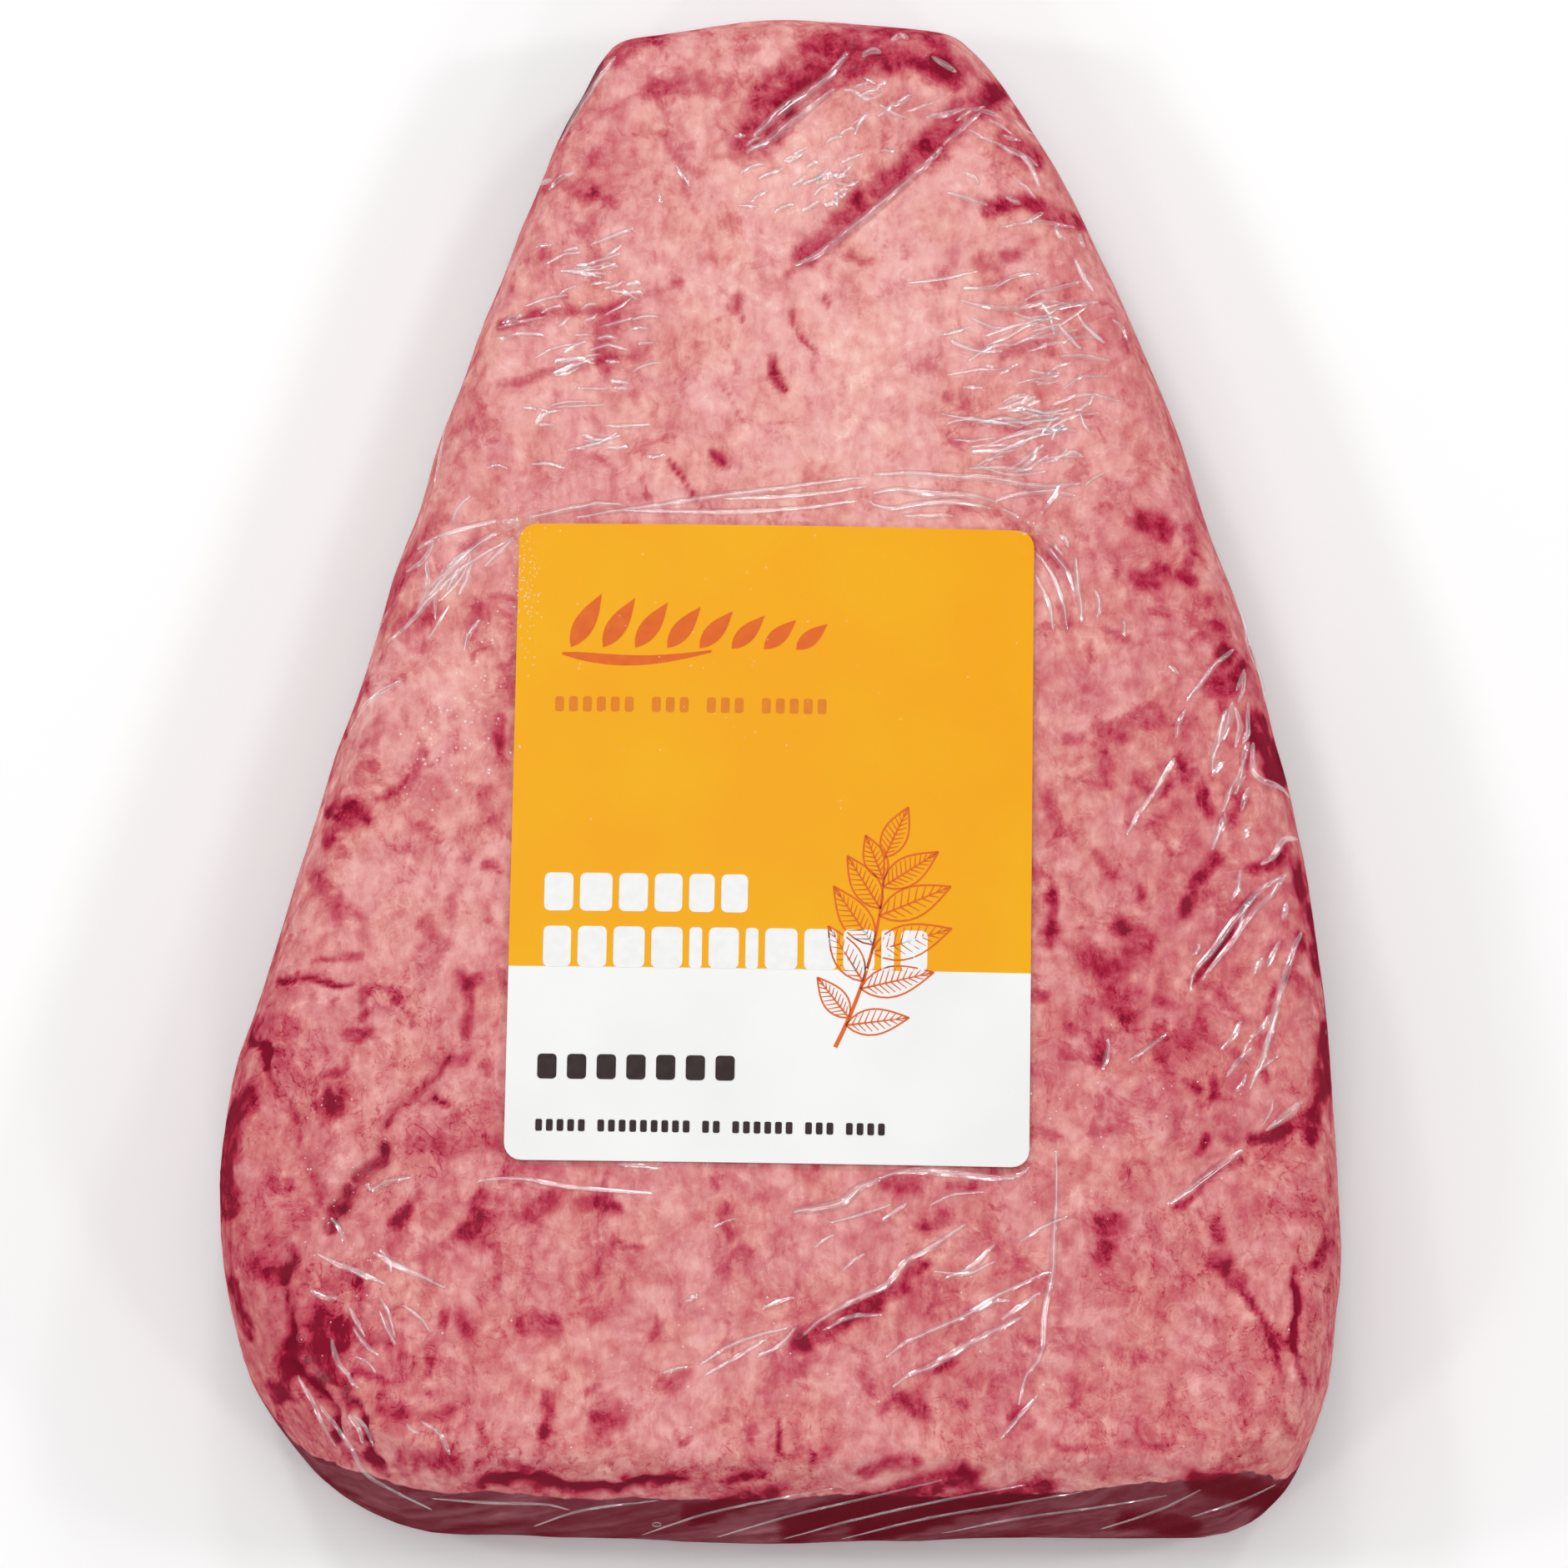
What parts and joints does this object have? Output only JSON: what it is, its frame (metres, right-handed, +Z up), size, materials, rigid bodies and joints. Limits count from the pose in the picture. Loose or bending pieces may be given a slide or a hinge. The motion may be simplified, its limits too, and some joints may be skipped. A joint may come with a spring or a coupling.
{
  "type": "raw picanha",
  "caption": "Whole raw beef picanha, fat side up, sealed tight in clear film with a two-colour label under the film; it lies flat on its lean side.",
  "frame": {"origin": "middle of the pack's box, on the surface that it lies on", "axes": "+Z up, through the fat cap; +Y towards the narrow tip; +X to the right as the label is seen upright"},
  "size_m": [0.1946, 0.2738, 0.0432],
  "materials": {
    "beef_fat": "moist mottled fat under clear film",
    "beef_lean": "wet lean meat under clear film",
    "printed_label": "satin print under clear film"
  },
  "bodies": {
    "root": {"fat_cap": "beef_fat", "lean_beef": "beef_lean", "label": "printed_label"}
  },
  "joints": []
}
